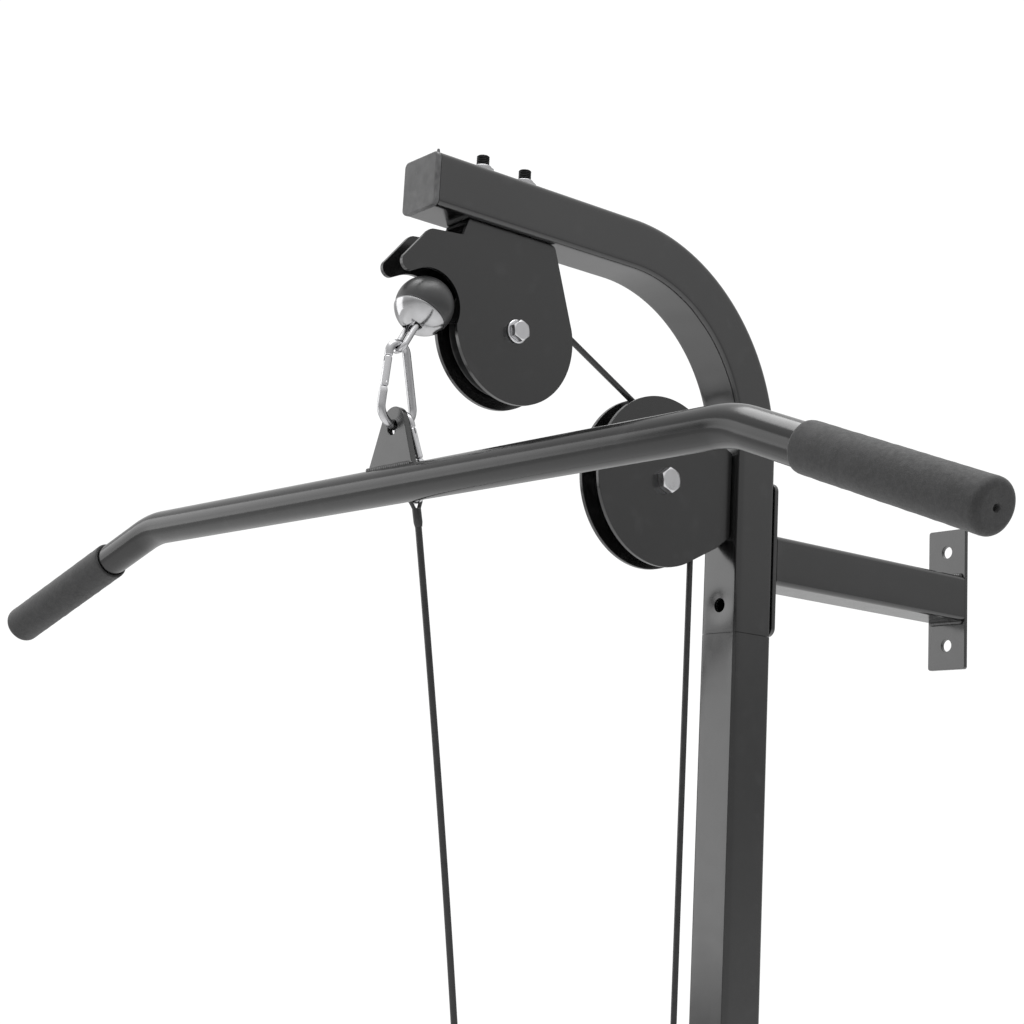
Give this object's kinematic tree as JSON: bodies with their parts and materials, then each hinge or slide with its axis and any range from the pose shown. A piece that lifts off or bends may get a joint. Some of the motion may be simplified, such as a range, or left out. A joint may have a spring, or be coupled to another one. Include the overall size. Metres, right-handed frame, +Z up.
{
  "type": "wall-mounted cable tower",
  "caption": "Wall-bracketed cable tower with a bent top arm, plate-bracketed pulleys, a hooked lat bar, a plate-loaded sliding carriage and a low pulley.",
  "frame": {"origin": "on the floor, under the column's axis", "axes": "+X to the user's left-right width, +Y towards the wall, -Y towards the user, +Z up"},
  "size_m": [1.2555, 0.837, 2.1305],
  "materials": {
    "frame_paint": "satin black powder coat",
    "bracket_paint": "satin black powder coat on folded plate",
    "bar_paint": "semi-gloss black coat on round tube",
    "zinc_steel": "bright zinc plate",
    "chrome_steel": "polished chrome",
    "black_rubber": "smooth moulded rubber",
    "black_plastic": "moulded nylon",
    "foam_grip": "fine-cell closed foam",
    "coated_cable": "black PVC coat over steel rope"
  },
  "bodies": {
    "frame": {"arm_bolt_front": "zinc_steel", "arm_bolt_rear": "zinc_steel", "arm_end_cap": "black_plastic", "arm_nut_front": "zinc_steel", "arm_nut_rear": "zinc_steel", "back_plate_bolt": "zinc_steel", "base_beam": "frame_paint", "column_back_plate": "frame_paint", "column_bumper": "black_rubber", "front_axle_bolt": "zinc_steel", "front_axle_nut": "zinc_steel", "front_axle_washer": "zinc_steel", "front_bracket": "bracket_paint", "front_foot": "frame_paint", "joint_spigot": "frame_paint", "low_axle_bolt": "zinc_steel", "low_axle_nut": "zinc_steel", "low_bracket": "bracket_paint", "low_cable_wrap": "coated_cable", "lower_column": "frame_paint", "rear_axle_bolt": "zinc_steel", "rear_axle_nut": "zinc_steel", "rear_bracket": "bracket_paint", "rear_bracket_bolt": "zinc_steel", "rear_bracket_nut": "zinc_steel", "rear_foot": "frame_paint", "upper_cable": "coated_cable", "upper_frame": "frame_paint", "wall_arm": "frame_paint", "wall_plate": "frame_paint"},
    "carriage": {"carriage_sleeve": "frame_paint", "carriage_glide_upper": "black_plastic", "carriage_glide_lower": "black_plastic", "weight_peg_left": "zinc_steel", "weight_peg_right": "zinc_steel", "cable_terminal": "zinc_steel", "cable_terminal_nut": "zinc_steel", "weight_cable_drop": "coated_cable"},
    "front_wheel": {"front_pulley": "black_plastic", "front_pulley_bearing": "zinc_steel"},
    "rear_wheel": {"rear_pulley": "black_plastic", "rear_pulley_bearing": "zinc_steel"},
    "low_wheel": {"low_pulley": "black_plastic", "low_pulley_bearing": "zinc_steel"},
    "lat_trolley": {"stop_ball": "black_rubber", "ball_cup": "chrome_steel", "ball_eye": "zinc_steel", "lat_hook": "zinc_steel", "link_hook": "zinc_steel", "lat_cable_drop": "coated_cable", "low_cable_rise": "coated_cable"},
    "lat_hook_gate_arm": {"lat_hook_gate": "zinc_steel"},
    "link_hook_gate_arm": {"link_hook_gate": "zinc_steel"},
    "bar": {"lat_bar": "bar_paint", "lat_grip_left": "foam_grip", "lat_grip_right": "foam_grip"},
    "row_trolley": {"row_stop_ball": "black_rubber", "row_eye": "zinc_steel", "row_cable_end": "coated_cable"}
  },
  "joints": [
    {"name": "carriage_slide", "type": "slide", "parent": "frame", "child": "carriage", "axis": [0, 0, 1], "range_m": [0, 1.1], "deforming": ["weight_cable_drop"]},
    {"name": "lat_pull", "type": "slide", "parent": "frame", "child": "lat_trolley", "axis": [0, 0, -1], "range_m": [0, 1.1], "deforming": ["lat_cable_drop", "low_cable_rise"]},
    {"name": "row_pull", "type": "slide", "parent": "frame", "child": "row_trolley", "axis": [0, -1, 0], "range_m": [0, 1.1], "deforming": ["row_cable_end"]},
    {"name": "front_pulley_spin", "type": "hinge", "parent": "frame", "child": "front_wheel", "pos_m": [0, -0.3135, 1.967], "axis": [1, 0, 0], "continuous": true},
    {"name": "rear_pulley_spin", "type": "hinge", "parent": "frame", "child": "rear_wheel", "pos_m": [0, -0.116, 1.862], "axis": [1, 0, 0], "continuous": true},
    {"name": "low_pulley_spin", "type": "hinge", "parent": "frame", "child": "low_wheel", "pos_m": [0, -0.277, 0.13], "axis": [1, 0, 0], "continuous": true},
    {"name": "bar_rock", "type": "hinge", "parent": "lat_trolley", "child": "bar", "pos_m": [0, -0.429, 1.8589], "axis": [0, 1, 0], "range_deg": [-20, 20]},
    {"name": "lat_gate_open", "type": "hinge", "parent": "lat_trolley", "child": "lat_hook_gate_arm", "pos_m": [0, -0.44309, 1.89562], "axis": [-1, 0, 0], "range_deg": [0, 18], "stiffness_Nm_per_rad": 0.06, "springref_deg": -8.59},
    {"name": "link_gate_open", "type": "hinge", "parent": "lat_trolley", "child": "link_hook_gate_arm", "pos_m": [0.01373, -0.41187, 1.83434], "axis": [0, -0.9659, -0.2588], "range_deg": [0, 18], "stiffness_Nm_per_rad": 0.06, "springref_deg": -8.59}
  ],
  "couplings": [
    {"joint": "lat_pull", "follows": "carriage_slide", "ratio": 1},
    {"joint": "row_pull", "follows": "carriage_slide", "ratio": 1},
    {"joint": "front_pulley_spin", "follows": "carriage_slide", "rad_per_m": 20.408},
    {"joint": "rear_pulley_spin", "follows": "carriage_slide", "rad_per_m": 20.408},
    {"joint": "low_pulley_spin", "follows": "carriage_slide", "rad_per_m": -20.408}
  ]
}
